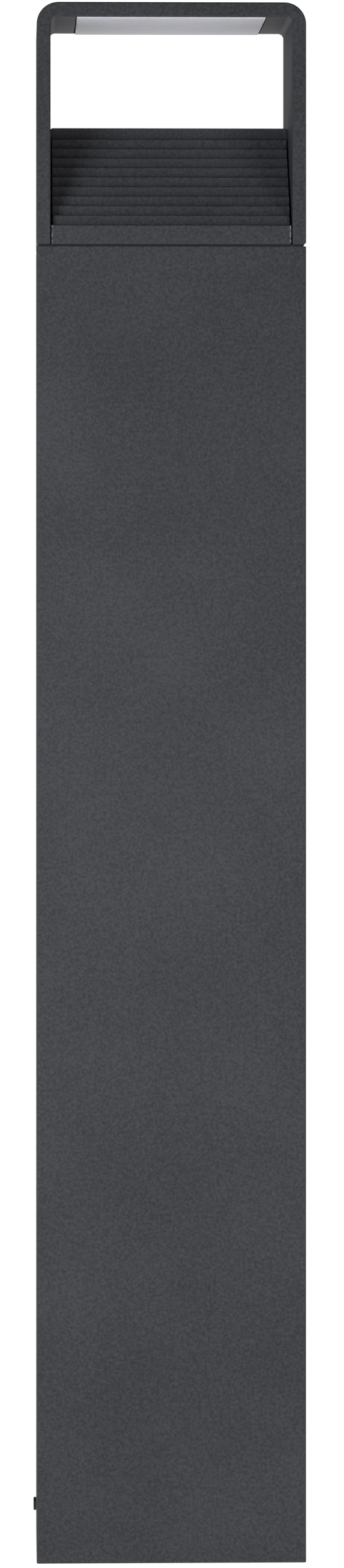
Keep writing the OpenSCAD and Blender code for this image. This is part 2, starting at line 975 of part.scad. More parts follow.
module terminal_screws() {
    color(steel)
        at_terminal_screws()
            difference() {
                translate([0, 2.5, 0])
                    rotate([-90, 0, 0])
                        cylinder(r = 2.1, h = 4.5);
                translate([-3, 2, -0.4])
                    cube([6, 1.4, 0.8]);
            }
}

// Supply gland: its body is clamped in the box's floor by a nut inside.
module supply_gland() {
    color(rubber)
        difference() {
            union() {
                run_z(0, gland_body_z, box_z, gland_nose_r);
                translate([0, 0, box_z - gland_hex_h])
                    cylinder(r = gland_hex / 2 / cos(30), h = gland_hex_h, $fn = 6);
                run_z(0, box_z - past, gland_top, gland_thread_r);
            }
            run_z(0, gland_body_z - past, gland_top + past, gland_bore_r);
        }
}

module gland_nut() {
    color(rubber)
        difference() {
            translate([0, 0, box_z + box_wall])
                cylinder(r = (gland_hex + 1) / 2 / cos(30), h = 5, $fn = 6);
            run_z(0, box_z, gland_top + past, gland_thread_r + thread_gap);
        }
}

module gland_cap() {
    color(rubber)
        difference() {
            run_z(0, gland_cap_z, gland_cap_z + gland_cap_h, gland_nose_r + 2.5);
            run_z(0, gland_cap_z - past, gland_body_z + past, gland_bore_r);
            run_z(0, gland_body_z, gland_cap_z + gland_cap_h + past, gland_nose_r + thread_gap);
        }
}

// Rubber gland that grips the driver's lead in the box's top.
module link_gland() {
    color(rubber)
        difference() {
            union() {
                run_z(gear_x, box_top - box_wall - 3, box_top - box_wall, link_flange);
                run_z(gear_x, box_top - box_wall - past, box_top + past, mains_r + 1.95);
                run_z(gear_x, box_top, box_top + 8, link_flange);
            }
            run_z(gear_x, box_top - 2 * link_flange, box_top + 2 * link_flange, mains_r + thread_gap);
        }
}

// ---- Earth connection ----

module earth_grommet() {
    color(rubber)
        difference() {
            union() {
                run_z(earth_x, box_z - 2, box_z, earth_r + 2.5);
                run_z(earth_x, box_z - past, box_z + box_wall + past, earth_r + 1.45);
                run_z(earth_x, box_z + box_wall, box_z + box_wall + 2, earth_r + 2.5);
            }
            run_z(earth_x, box_z - 5, box_z + 10, earth_r + thread_gap);
        }
}

// Wire from the junction box down to the lug on the anchor base.
module earth_wire() {
    color("#8fbf3a") {
        run_z(earth_x, earth_z + earth_bend, box_z + box_wall + 8, earth_r);
        quarter(earth_x - earth_bend, earth_z + earth_bend, earth_bend, 270, earth_r);
        run_x(earth_x - earth_bend - 2, earth_x - earth_bend, earth_z, earth_r);
    }
}

module earth_lug() {
    barrel_x = earth_x - earth_bend - 2;
    color(metal)
        difference() {
            union() {
                run_x(barrel_x - 6, barrel_x, earth_z, earth_r + 0.7);
                translate([earth_lug_x, -2.5, base_t])
                    cube([barrel_x - 5 - earth_lug_x, 5, 1]);
                translate([earth_lug_x, 0, base_t])
                    cylinder(r = 5, h = 1);
            }
            translate([earth_lug_x, 0, base_t - past])
                cylinder(r = m5[0] + hole_gap, h = 1 + 2 * past);
        }
}

module earth_screw() {
    color(steel)
        translate([earth_lug_x, 0, base_t + 1])
            rotate([180, 0, 0])
                screw(m5, base_t - 2);
}

post_tube();
top_plate();
top_plate_screws();
head_gasket();
head_frame();
stepped_baffle();
leg_screws();
head_screws();
led_board();
led_chips();
led_board_screws();
led_connector();
diffuser();
diffuser_seal();
led_lead();
lead_grommet();
lead_clips();
led_plug();
led_socket();
socket_lead();
plug_clip();
anchor_base();
side_screws();
gear_tray();
tray_screws();
led_driver();
driver_screws();
driver_lead();
junction_box();
junction_lid();
lid_seal();
lid_screws();
box_screws();
terminal_block();
terminal_screws();
supply_gland();
gland_nut();
gland_cap();
link_gland();
earth_grommet();
earth_wire();
earth_lug();
earth_screw();
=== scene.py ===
# %% [markdown]
# # A bollard light, dressed for the camera
# The light is a plain rectangular post with a portal on top. The lamp hides in the underside of
# the portal's top bar and shines down on a stepped baffle. The engineering model already has
# every piece at its true size, so this script loads it first and takes all its places from it. It
# then remakes the pieces that the eye meets with rounded edges, and gives every piece its finish.

# %% Load the engineering model
import math

import bmesh
import bpy
from mathutils import Matrix, Vector


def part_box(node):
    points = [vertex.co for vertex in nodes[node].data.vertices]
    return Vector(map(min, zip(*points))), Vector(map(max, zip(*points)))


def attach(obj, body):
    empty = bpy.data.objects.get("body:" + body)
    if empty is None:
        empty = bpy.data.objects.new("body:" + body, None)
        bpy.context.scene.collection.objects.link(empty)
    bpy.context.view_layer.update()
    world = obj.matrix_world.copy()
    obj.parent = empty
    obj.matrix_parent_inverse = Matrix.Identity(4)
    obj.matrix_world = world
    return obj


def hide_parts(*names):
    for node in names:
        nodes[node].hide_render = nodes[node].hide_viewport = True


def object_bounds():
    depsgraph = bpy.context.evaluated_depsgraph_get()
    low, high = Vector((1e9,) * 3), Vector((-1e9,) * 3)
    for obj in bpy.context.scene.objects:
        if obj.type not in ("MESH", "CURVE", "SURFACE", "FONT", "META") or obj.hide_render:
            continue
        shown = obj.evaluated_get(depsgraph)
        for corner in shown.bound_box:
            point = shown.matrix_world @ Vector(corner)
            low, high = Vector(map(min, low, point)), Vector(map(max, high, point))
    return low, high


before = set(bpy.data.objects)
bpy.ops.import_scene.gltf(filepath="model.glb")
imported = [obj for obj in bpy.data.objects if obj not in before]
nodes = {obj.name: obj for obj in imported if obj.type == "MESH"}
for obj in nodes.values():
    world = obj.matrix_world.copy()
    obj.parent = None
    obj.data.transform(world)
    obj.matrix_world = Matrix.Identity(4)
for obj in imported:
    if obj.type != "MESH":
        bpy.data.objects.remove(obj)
engineering_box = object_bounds()
MM = 0.001
print("pieces in the engineering model:", len(nodes))

# %% [markdown]
# ## The camera
# A product picture of something this tall and thin is taken with a long lens from far away, so
# that upright lines stay upright. The camera stands level at about two thirds of the light's
# height, a little to the left of its middle. It isn't tilted: its lens is shifted down instead,
# as an architect's camera does, which keeps the post's edges parallel.

# %% Place the camera
low, high = Vector(engineering_box[0]), Vector(engineering_box[1])
light_height = high.z - low.z
camera_distance = 3.7
camera_turn = math.radians(1.5)
eye_height = 0.6645 * light_height
framed_height = 1.0043 * light_height
sensor_mm = 36
shift_right, shift_up = 0.0003, -0.16471

lens = bpy.data.cameras.new("camera")
lens.sensor_width = sensor_mm
lens.lens = sensor_mm * camera_distance / framed_height
lens.shift_x, lens.shift_y = shift_right, shift_up
camera = bpy.data.objects.new("camera", lens)
bpy.context.scene.collection.objects.link(camera)
camera.location = (-camera_distance * math.sin(camera_turn),
                   low.y - camera_distance * math.cos(camera_turn), eye_height)
camera.rotation_euler = (math.radians(90), 0, -camera_turn)
bpy.context.scene.camera = camera
print(f"lens {lens.lens:.1f} mm, eye {eye_height * 1000:.0f} mm above the ground")

# %% [markdown]
# ## Sizes
# The large sizes are read from the engineering model, so the remade pieces can't drift from it.
# Only the small things that a box doesn't tell are written down, each where it is first needed:
# here, the gap beside the baffle, the draft of the legs, the part of the cover that stands proud
# of the bar, and the height of the baffle's lip.

# %% Read the large sizes
post_low, post_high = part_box("post_tube")
head_low, head_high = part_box("head_frame")
baffle_low, baffle_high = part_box("stepped_baffle")
cover_low, cover_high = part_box("diffuser")
half_w, half_d = head_high.x, head_high.y

draft, baffle_gap, cover_proud, lip_h = 0.3 * MM, 0.3 * MM, 0.8 * MM, 12.3 * MM
bar_z = cover_low.z + cover_proud
leg_x = baffle_high.x + baffle_gap + draft
lip_z = head_low.z + lip_h
print(f"leg {(half_w - leg_x) * 1000:.2f} mm, bar {(head_high.z - bar_z) * 1000:.2f} mm")

# %% [markdown]
# ## Helpers for meshes
# Most of these pieces are shells with flat faces and small round edges. Smooth shading alone
# would smear a round edge's shade over the flat face beside it. So each mesh gets its sharp edges
# marked by angle, and its normals weighted by face area, which keeps the flat faces flat.

# %% Helpers: turn modifiers into mesh, shade, cut and weld
SAME_SPOT = 1e-6  # points closer than this, in metres, are one point


def add_object(name, data):
    thing = bpy.data.objects.new(name, data)
    bpy.context.scene.collection.objects.link(thing)
    return thing


def bake(thing):
    """Replace an object's mesh or curve by its evaluated mesh, and drop its modifiers."""
    graph = bpy.context.evaluated_depsgraph_get()
    mesh = bpy.data.meshes.new_from_object(thing.evaluated_get(graph))
    name = thing.name
    if thing.type == "MESH":
        thing.modifiers.clear()
        thing.data = mesh
        mesh.name = name
        return thing
    bpy.data.objects.remove(thing)
    return add_object(name, mesh)


def tidy(mesh):
    """Merge doubles and turn every face outwards."""
    work = bmesh.new()
    work.from_mesh(mesh)
    bmesh.ops.remove_doubles(work, verts=work.verts, dist=SAME_SPOT)
    bmesh.ops.recalc_face_normals(work, faces=work.faces)
    work.to_mesh(mesh)
    work.free()


SHARP_ANGLE, FACE_WEIGHT = math.radians(32), 90


def shade(thing):
    """Smooth shading with flat faces kept flat."""
    thing.data.shade_smooth()
    thing.data.set_sharp_from_angle(angle=SHARP_ANGLE)
    weighted = thing.modifiers.new("weighted", "WEIGHTED_NORMAL")
    weighted.keep_sharp = True
    weighted.weight = FACE_WEIGHT
    return bake(thing)


def combine(thing, operation, others):
    """Apply one boolean after another, and throw the other objects away."""
    for other in others:
        boolean = thing.modifiers.new("combine", "BOOLEAN")
        boolean.operation, boolean.solver, boolean.object = operation, "EXACT", other
        bake(thing)
        bpy.data.objects.remove(other)


def cut(thing, *cutters):
    """Take the cutters out of the piece, as a milling cutter would."""
    combine(thing, "DIFFERENCE", cutters)


def join_solids(thing, *others):
    """Weld other solids onto the piece, so that one closed skin is left."""
    combine(thing, "UNION", others)


def report(thing):
    mesh = thing.data
    mesh.calc_loop_triangles()
    size = [round(s * 1000, 1) for s in thing.dimensions]
    print(f"{thing.name}: {len(mesh.loop_triangles)} triangles, {size} mm")


# %% [markdown]
# A loft joins a row of outlines that all have the same number of points, as a boat's planks join
# its ribs. A box is a loft of two rectangles and a rod one of two circles, so the same few lines
# make the real pieces and the shapes that cut them.

# %% Helpers: loft a row of outlines, and simple cutters
def loft(name, rings):
    """Join outlines of equal length into one closed solid with flat ends."""
    work = bmesh.new()
    rows = [[work.verts.new(p) for p in ring] for ring in rings]
    for row, after in zip(rows, rows[1:]):
        for i in range(len(row)):
            j = (i + 1) % len(row)
            work.faces.new((row[i], row[j], after[j], after[i]))
    work.faces.new(rows[0][::-1])
    work.faces.new(rows[-1])
    mesh = bpy.data.meshes.new(name)
    work.to_mesh(mesh)
    work.free()
    tidy(mesh)
    return add_object(name, mesh)


def block(corner_a, corner_b):
    """A plain box to cut with."""
    (x0, y0, z0), (x1, y1, z1) = corner_a, corner_b
    return loft("cutter", [[(x0, y0, z), (x1, y0, z), (x1, y1, z), (x0, y1, z)]
                           for z in (z0, z1)])


def rod(start, end, radius, sides=32):
    """A round bar from one point to another."""
    start, end = Vector(start), Vector(end)
    turn = (end - start).to_track_quat("Z", "Y")
    circle = [turn @ Vector((radius * math.cos(a), radius * math.sin(a), 0))
              for a in (2 * math.pi * i / sides for i in range(sides))]
    return loft("cutter", [[p + end_point for p in circle] for end_point in (start, end)])


# %% [markdown]
# A casting has no sharp corner, in its outline or at its faces. This outline rounds each corner,
# and keeps for each point the direction that leads out of the shape. A loft can then shrink the
# outline by a known distance near a face, which rounds the face's edge as well.

# %% Helper: an outline with round corners that knows which way is out
def rounded_outline(corners, steps_per_corner=10):
    """Points and outward directions of a flat outline. A corner is (u, v, radius).
    Corners run anticlockwise, and an inner corner is found from its turn."""
    result = []
    count = len(corners)
    for i, (u, v, radius) in enumerate(corners):
        here = Vector((u, v))
        back = (Vector(corners[i - 1][:2]) - here).normalized()
        ahead = (Vector(corners[(i + 1) % count][:2]) - here).normalized()
        outer = (-back).cross(ahead) > 0
        centre = here + (back + ahead) * radius
        sign = 1 if outer else -1
        first = here + back * radius - centre
        start = math.atan2(first.y, first.x)
        sweep = sign * math.pi / 2
        for k in range(steps_per_corner + 1):
            a = start + sweep * k / steps_per_corner
            ray = Vector((math.cos(a), math.sin(a)))
            result.append((centre + ray * radius, ray * sign))
    return result


# %% [markdown]
# ## Helpers for materials
# A material here is a small node tree. One function adds a node and sets its sockets, and another
# starts each material with a principled shader whose plain values sit on its own sockets. Colours
# are written as on a paint chart and turned into the linear values that the renderer needs.
# Patterns read Object coordinates, which are metres here, so a scale is one over a size in
# metres.

# %% Helpers: colours, nodes and a base material
def paint(hex_colour):
    """The linear value of a paint chart's colour, by the standard sRGB curve."""
    values = [int(hex_colour[i:i + 2], 16) / 255 for i in (1, 3, 5)]
    return [v / 12.92 if v <= 0.04045 else ((v + 0.055) / 1.055) ** 2.4 for v in values] + [1.0]


def per_mm(size):
    """The scale of a pattern whose features are this many millimetres across."""
    return 1 / (size * MM)


def add_node(tree, kind, inputs=None, **settings):
    node = tree.nodes.new(kind)
    for name, value in settings.items():
        setattr(node, name, value)
    for name, value in (inputs or {}).items():
        if isinstance(value, bpy.types.NodeSocket):
            tree.links.new(value, node.inputs[name])
        else:
            node.inputs[name].default_value = value
    return node


def start_material(name, colour, roughness, metallic=0.0, **sockets):
    material = bpy.data.materials.new(name)
    material.use_nodes = True
    tree = material.node_tree
    shader = tree.nodes["Principled BSDF"]
    shader.inputs["Base Color"].default_value = paint(colour)
    shader.inputs["Roughness"].default_value = roughness
    shader.inputs["Metallic"].default_value = metallic
    for socket, value in sockets.items():
        shader.inputs[socket.replace("_", " ")].default_value = value
    place = add_node(tree, "ShaderNodeTexCoord").outputs["Object"]
    return material, tree, shader, place


# %% [markdown]
# One pattern often steers several things at once: where the grain stands high, a coat is lighter,
# rougher and raised. The next function ties a pattern to two tones, to a range of roughness or to
# a relief, which it lays over an earlier relief if there is one. A noise stays mostly between 0.3
# and 0.7, so that span is stretched over the tones and the roughness. Sums are written as a table
# with a name for each result, which reads more easily than one call inside another.

# %% Helpers: let a pattern steer a material, and turn a table of sums into nodes
NOISE_SPAN = (0.3, 0.7)
MIX_A, MIX_B, MIX_COLOUR = 6, 7, 2  # the mix node's colour sockets


def steer(tree, shader, pattern, tones=None, span=NOISE_SPAN, roughness=None, relief=None):
    """Tones are two colours, roughness two limits, and relief a depth in mm and a strength."""
    if tones:
        amount = add_node(tree, "ShaderNodeMapRange", {
            "Value": pattern, "From Min": span[0], "From Max": span[1]}).outputs["Result"]
        blend = add_node(tree, "ShaderNodeMix", {
            "Factor": amount, MIX_A: paint(tones[0]), MIX_B: paint(tones[1])}, data_type="RGBA")
        tree.links.new(blend.outputs[MIX_COLOUR], shader.inputs["Base Color"])
    if roughness:
        amount = add_node(tree, "ShaderNodeMapRange", {
            "Value": pattern, "From Min": NOISE_SPAN[0], "From Max": NOISE_SPAN[1],
            "To Min": roughness[0], "To Max": roughness[1]}).outputs["Result"]
        tree.links.new(amount, shader.inputs["Roughness"])
    if relief:
        earlier = [link.from_socket for link in shader.inputs["Normal"].links]
        bump = add_node(tree, "ShaderNodeBump", {
            "Height": pattern, "Distance": relief[0] * MM, "Strength": relief[1]})
        for normal in earlier:
            tree.links.new(normal, bump.inputs["Normal"])
        tree.links.new(bump.outputs["Normal"], shader.inputs["Normal"])


def work_out(tree, known, rules):
    """Each rule is a name, an operation and its inputs: numbers, or the names of known values."""
    for name, operation, *inputs in rules:
        sockets = {i: known.get(value, value) for i, value in enumerate(inputs)}
        known[name] = add_node(tree, "ShaderNodeMath", sockets, operation=operation).outputs[0]
    return known


# %% [markdown]
# ## The anthracite coat
# The post, the head and the baffle carry a fine-textured powder coat. Powder melts into a skin
# with tiny hills well under a millimetre across and a slow waviness of a few millimetres. An
# image texture would fix one light on the surface, so the coat is made from noise instead. The
# grain is drawn 1.9 mm across, coarser than the real one, so that it shows. The grain and a 6 mm
# waviness move the normal, and a 90 mm cloud joins the grain in varying the colour.

# %% Make the powder coat
coat_dark, coat_light = "#18191b", "#3f4044"
grain_mm, wave_mm, cloud_mm = 1.9, 6.0, 90.0
cloud_share = 0.25


def powder_coat(name):
    material, tree, shader, place = start_material(name, coat_dark, 0.66)
    grain = add_node(tree, "ShaderNodeTexNoise", {"Vector": place, "Scale": per_mm(grain_mm),
                     "Detail": 4.0, "Roughness": 0.7}).outputs["Fac"]
    wave, cloud = (add_node(tree, "ShaderNodeTexNoise", {
        "Vector": place, "Scale": per_mm(size)}).outputs["Fac"] for size in (wave_mm, cloud_mm))
    mottle = work_out(tree, {"grain": grain, "cloud": cloud}, [
        ("mottle", "MULTIPLY_ADD", "cloud", cloud_share, "grain")])["mottle"]
    steer(tree, shader, mottle, tones=(coat_dark, coat_light), span=(0.45, 0.8))
    steer(tree, shader, wave, relief=(0.02, 0.5))
    steer(tree, shader, grain, roughness=(0.58, 0.74), relief=(0.12, 0.6))
    return material, tree, shader, place


coat = powder_coat("anthracite_powder_coat")[0]
print("coat nodes:", len(coat.node_tree.nodes))

# %% [markdown]
# The baffle has the same coat, with a painted highlight at the lip's ends: pale specks along the
# two end edges stand in for the thin light lines that these edges catch where the baffle meets the
# legs. The specks are placed by a mask made from the place on the piece: near an end, below the
# first step, and only where a coarse noise is high.

# %% Paint highlight specks on the lip's ends
# painted highlight: pale specks within this band at each end of the lip, below the first step
highlight_speck_band, step_clear = 0.9 * MM, 0.4 * MM
speck_mm, speck_level = 2.4, 0.47

highlight_speck_coat, tree, shader, place = powder_coat("worn_powder_coat")
spot = add_node(tree, "ShaderNodeSeparateXYZ", {0: place}).outputs
specks = add_node(tree, "ShaderNodeTexNoise", {
    "Vector": place, "Scale": per_mm(speck_mm)}).outputs["Fac"]
mask = work_out(tree, {"x": spot["X"], "z": spot["Z"], "specks": specks}, [
    ("from the middle", "ABSOLUTE", "x"),
    ("at an end", "GREATER_THAN", "from the middle", baffle_high.x - highlight_speck_band),
    ("on the lip", "LESS_THAN", "z", lip_z - step_clear),
    ("in a speck", "GREATER_THAN", "specks", speck_level),
    ("lip's end", "MULTIPLY", "at an end", "on the lip"),
    ("worn", "MULTIPLY", "lip's end", "in a speck")])["worn"]
coat_colour = shader.inputs["Base Color"].links[0].from_socket
# the pale colour below is a painted highlight along the lip's end edges
worn = add_node(tree, "ShaderNodeMix", {
    "Factor": mask, MIX_A: coat_colour, MIX_B: paint("#77787b")}, data_type="RGBA")
tree.links.new(worn.outputs[MIX_COLOUR], shader.inputs["Base Color"])
print("worn coat nodes:", len(tree.nodes))

# %% [markdown]
# ## The metals
# Milled aluminium shows fine straight lines, zinc-plated sheet a faint cloudiness, and screws are
# turned and so a little smoother. All are full metals whose roughness follows a stretched noise:
# the Mapping node squeezes one axis, which draws the blotches out into brushed lines. The side
# screws are the exception: black oxide hides their steel, so they are no metal to the eye.

# %% Make the metals
def brushed(name, colour, roughness, squeeze, size, depth):
    metal, tree, shader, place = start_material(name, colour, roughness, 1.0)
    lines = add_node(tree, "ShaderNodeMapping", {"Vector": place, "Scale": squeeze}).outputs[0]
    streak = add_node(tree, "ShaderNodeTexNoise", {"Vector": lines, "Scale": per_mm(size),
                      "Detail": 3.0, "Roughness": 0.65}).outputs["Fac"]
    steer(tree, shader, streak, roughness=(roughness - 0.08, roughness + 0.1), relief=(depth, 0.5))
    return metal, tree, shader, place


bare_aluminium = brushed("milled_aluminium", "#cdced1", 0.36, (0.04, 1, 1), 0.5, 0.01)[0]
stainless = brushed("stainless_screw_steel", "#b0b1b4", 0.3, (1, 1, 0.3), 0.4, 0.006)[0]
zinc, tree, shader, place = brushed("zinc_plated_sheet", "#bcbec2", 0.4, (1, 1, 0.06), 0.8, 0.01)
flower = add_node(tree, "ShaderNodeTexVoronoi", {
    "Vector": place, "Scale": per_mm(9)}).outputs["Distance"]
steer(tree, shader, flower, tones=("#b3b6bb", "#c6c8cb"), span=(0.1, 0.6))

black_oxide, tree, shader, place = start_material("black_oxide_steel", "#0c0c0d", 0.38)
pits = add_node(tree, "ShaderNodeTexNoise", {
    "Vector": place, "Scale": per_mm(0.35)}).outputs["Fac"]
steer(tree, shader, pits, roughness=(0.3, 0.5), relief=(0.01, 0.4))
print("metals made")

# %% [markdown]
# ## The opal cover and the lamp
# The cover is opal acrylic: white, satin on its outside, and it lets light wander inside it
# before it comes out again. A little subsurface scattering gives that depth. Behind it the board
# has a white solder mask with faint copper tracks, and the chips have yellow phosphor.

# %% Make the lamp's materials
opal, tree, shader, place = start_material(
    "opal_acrylic", "#a9a9b7", 0.55, Subsurface_Weight=0.35, Subsurface_Scale=0.004,
    Specular_IOR_Level=0.3)
frost, milk = (add_node(tree, "ShaderNodeTexNoise", {
    "Vector": place, "Scale": per_mm(size)}).outputs["Fac"] for size in (0.25, 40))
steer(tree, shader, milk, tones=("#d3d2d9", "#d9d8df"))
steer(tree, shader, frost, relief=(0.01, 0.4))

board_white, tree, shader, place = start_material("white_solder_mask", "#e6e7e4", 0.35)
tracks = add_node(tree, "ShaderNodeTexWave", {"Vector": place, "Scale": per_mm(28),
                  "Distortion": 1.5}, bands_direction="Y").outputs["Fac"]
steer(tree, shader, tracks, tones=("#e6e7e4", "#d5d8cf"), span=(0.93, 0.97), relief=(0.03, 0.3))

phosphor, tree, shader, place = start_material("yellow_phosphor", "#e8c34a", 0.5)
crystals = add_node(tree, "ShaderNodeTexNoise", {
    "Vector": place, "Scale": per_mm(0.15)}).outputs["Fac"]
steer(tree, shader, crystals, tones=("#e2ba3c", "#efce62"), relief=(0.01, 0.4))
print("lamp finishes made")

# %% [markdown]
# ## Plastics and rubbers
# Moulded plastic takes the fine spark texture of its mould, and rubber is duller with a coarser
# grain. One recipe with a few numbers covers them all. The earth wire's sheath is the exception:
# it is green with a yellow stripe, which a wave pattern draws around it.

# %% Make the plastics and rubbers
tint_mm = 14


def moulded(name, colours, roughness, spark_mm, depth, **sockets):
    plastic, tree, shader, place = start_material(name, colours[0], roughness, **sockets)
    tint, spark = (add_node(tree, "ShaderNodeTexNoise", {
        "Vector": place, "Scale": per_mm(size)}).outputs["Fac"] for size in (tint_mm, spark_mm))
    steer(tree, shader, tint, tones=colours)
    steer(tree, shader, spark, roughness=(roughness - 0.06, roughness + 0.08), relief=(depth, 0.5))
    return plastic


silicone = moulded("silicone_seal", ("#e2e2df", "#dadad6"), 0.55, 0.5, 0.01,
                   Subsurface_Weight=0.2, Subsurface_Scale=0.002)
white_plastic = moulded("white_nylon", ("#e9e9e4", "#e1e1da"), 0.45, 0.3, 0.01)
grey_plastic = moulded("grey_polycarbonate", ("#c3c5c6", "#b9bbbd"), 0.48, 0.4, 0.02)
clip_plastic = moulded("clip_nylon", ("#dcdcd8", "#d2d2cd"), 0.5, 0.4, 0.015)
black_rubber = moulded("black_rubber", ("#121213", "#181819"), 0.68, 0.6, 0.02)
black_plastic = moulded("black_plastic", ("#161618", "#1d1d20"), 0.42, 0.35, 0.015)

earth_sheath, tree, shader, place = start_material("green_yellow_sheath", "#3f7d2c", 0.45)
stripe = add_node(tree, "ShaderNodeTexWave", {"Vector": place, "Scale": per_mm(30),
                  "Distortion": 0.3}, bands_direction="DIAGONAL").outputs["Fac"]
matt = add_node(tree, "ShaderNodeTexNoise", {
    "Vector": place, "Scale": per_mm(0.4)}).outputs["Fac"]
steer(tree, shader, stripe, tones=("#3f7d2c", "#d8c52c"), span=(0.66, 0.7))
steer(tree, shader, matt, relief=(0.01, 0.4))
print("plastics made")

# %% [markdown]
# ## Finishes on the inner pieces
# The pieces inside keep the shape of the engineering model. Each one takes the finish of the real
# thing, matched by a table from finish to pieces.

# %% Dress the inner pieces
plain_screws = [name for name in nodes if name.endswith("_screws") and name != "side_screws"]
finishes = [
    (bare_aluminium, ["top_plate", "anchor_base", "earth_lug"]),
    (zinc, ["gear_tray"]),
    (stainless, plain_screws + ["earth_screw"]),
    (silicone, ["diffuser_seal"]),
    (board_white, ["led_board"]),
    (white_plastic, ["led_connector", "led_driver"]),
    (grey_plastic, ["junction_box", "junction_lid", "terminal_block"]),
    (clip_plastic, ["lead_clips", "plug_clip"]),
    (black_rubber, ["head_gasket", "lead_grommet", "lid_seal", "earth_grommet", "led_lead",
                    "socket_lead", "driver_lead"]),
    (black_plastic, ["led_plug", "led_socket", "supply_gland", "gland_nut", "gland_cap",
                     "link_gland"]),
    (earth_sheath, ["earth_wire"]),
    (coat, ["post_tube", "head_frame", "stepped_baffle"]),
    (opal, ["diffuser"]), (black_oxide, ["side_screws"]), (phosphor, ["led_chips"]),
]


def wear(thing, finish):
    thing.data.materials.clear()
    thing.data.materials.append(finish)


dressed = set()
for finish, names in finishes:
    for name in names:
        wear(nodes[name], finish)
        dressed.add(name)
print("pieces without a finish:", sorted(set(nodes) - dressed))

# %% [markdown]
# ## The post
# The real post is an aluminium extrusion, sawn to length: one outline, the same all the way up. A
# flat curve says exactly that. Its outer and inner outlines are two closed splines, and the screw
# ports bulge into the inner one at its corners, each with a bore of its own.

# %% Draw the post's outlines
post_wall, post_edge = 3 * MM, 1.5 * MM
port_r, port_bore = 4.5 * MM, 2 * MM
port_inset = port_r + 0.5 * MM


def flat_spline(curve, points):
    spline = curve.splines.new("POLY")
    spline.points.add(len(points) - 1)
    for spot, (u, v) in zip(spline.points, points):
        spot.co = (u, v, 0, 1)
    spline.use_cyclic_u = True


def circle_points(u, v, radius, count=24, start=0.0, sweep=2 * math.pi):
    return [(u + radius * math.cos(start + sweep * i / count),
             v + radius * math.sin(start + sweep * i / count)) for i in range(count)]


def ported_outline(w, d, inset, radius, count=14):
    """The inside of the extrusion, with a round port bulging in at each corner."""
    points = []
    for sx, sy in ((1, 1), (-1, 1), (-1, -1), (1, -1)):
        side = [(sx * w, sy * (d - inset - radius)), (sx * (w - inset), sy * (d - inset - radius))]
        arc = circle_points(w - inset, d - inset, radius, count, -math.pi / 2, -math.pi / 2)
        side += [(sx * u, sy * v) for u, v in arc[1:]]
        side += [(sx * (w - inset - radius), sy * (d - inset)), (sx * (w - inset - radius), sy * d)]
        points += side if sx * sy > 0 else side[::-1]
    return points


inner_w, inner_d = post_high.x - post_wall, post_high.y - post_wall
outer = [tuple(p) for p, _ in rounded_outline(
    [(-post_high.x, -post_high.y, post_edge), (post_high.x, -post_high.y, post_edge),
     (post_high.x, post_high.y, post_edge), (-post_high.x, post_high.y, post_edge)], 8)]
profile = bpy.data.curves.new("post_shell", "CURVE")
profile.dimensions, profile.fill_mode = "2D", "BOTH"
flat_spline(profile, outer)
flat_spline(profile, ported_outline(inner_w, inner_d, port_inset, port_r))
for sx in (-1, 1):
    for sy in (-1, 1):
        flat_spline(profile, circle_points(sx * (inner_w - port_inset),
                                           sy * (inner_d - port_inset), port_bore))
print("post outline points:", sum(len(s.points) for s in profile.splines))

# %% [markdown]
# The curve's own extrude and bevel give the length, and the small broken edge that the saw cut
# gets before coating. One long rod then drills both walls for the side screws, as the real drill
# does.

# %% Extrude the post and drill it for the side screws
saw_edge = 0.4 * MM
screw_hole_r, past_the_side = 2.8 * MM, 10 * MM
post_length = post_high.z - post_low.z
profile.extrude = post_length / 2 - saw_edge
profile.bevel_depth, profile.bevel_resolution, profile.offset = saw_edge, 2, -saw_edge
post = bake(add_object("post_shell", profile))
post.data.transform(Matrix.Translation((0, 0, post_low.z + post_length / 2)))
tidy(post.data)
screw_low, screw_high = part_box("side_screws")
screw_z = (screw_low.z + screw_high.z) / 2
cut(post, rod((-half_w - past_the_side, 0, screw_z), (half_w + past_the_side, 0, screw_z),
              screw_hole_r))
wear(post, coat)
post = shade(post)
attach(post, "root"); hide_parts("post_tube")
report(post)

# %% [markdown]
# ## The head
# The head is one casting: two legs and a top bar, open below. Seen from the front it is an arch
# with big outer corners and small inner ones, and the same arch runs from front to back. So it is
# lofted: the front outline is repeated at several depths. At the faces it shrinks along a quarter
# circle, which makes the round edge, and at mid-depth the window is a little narrower, because
# that is where the two halves of the mould part, and the draft of each half ends there in a faint
# crease.

# %% Loft the head
corner_r, window_r, foot_r, head_edge = 14 * MM, 3.5 * MM, 1.6 * MM, 1.0 * MM
arch = rounded_outline([
    (-half_w, head_low.z, foot_r), (-leg_x, head_low.z, head_edge), (-leg_x, bar_z, window_r),
    (leg_x, bar_z, window_r), (leg_x, head_low.z, head_edge), (half_w, head_low.z, foot_r),
    (half_w, head_high.z, corner_r), (-half_w, head_high.z, corner_r)], 14)


def arch_ring(y, shrink, narrow):
    """The arch at one depth, smaller by shrink, with the window narrower by narrow."""
    ring = []
    for spot, out in arch:
        inside = abs(spot.x) < leg_x + SAME_SPOT and spot.y < bar_z + SAME_SPOT
        spot = spot - out * shrink + (out * narrow if inside else Vector((0, 0)))
        ring.append((spot.x, y, spot.y))
    return ring


def edge_steps(radius, count=4):
    """How far in from the face, and how much smaller, along a quarter circle."""
    for k in range(count + 1):
        a = math.pi / 2 * k / count
        yield radius * (1 - math.cos(a)), radius * (1 - math.sin(a))


front = [(-half_d + go_in, shrink) for go_in, shrink in edge_steps(head_edge)]
rings = [arch_ring(y, shrink, 0) for y, shrink in front]
rings.append(arch_ring(0, 0, draft))
rings += [arch_ring(-y, shrink, 0) for y, shrink in front[::-1]]
head = loft("head_shell", rings)
report(head)

# %% [markdown]
# The lamp's pocket is milled into the underside of the bar, with a deeper recess for the board
# and a duct for the lead down the right leg. Cutting with plain shapes is how the real pocket is
# made too.

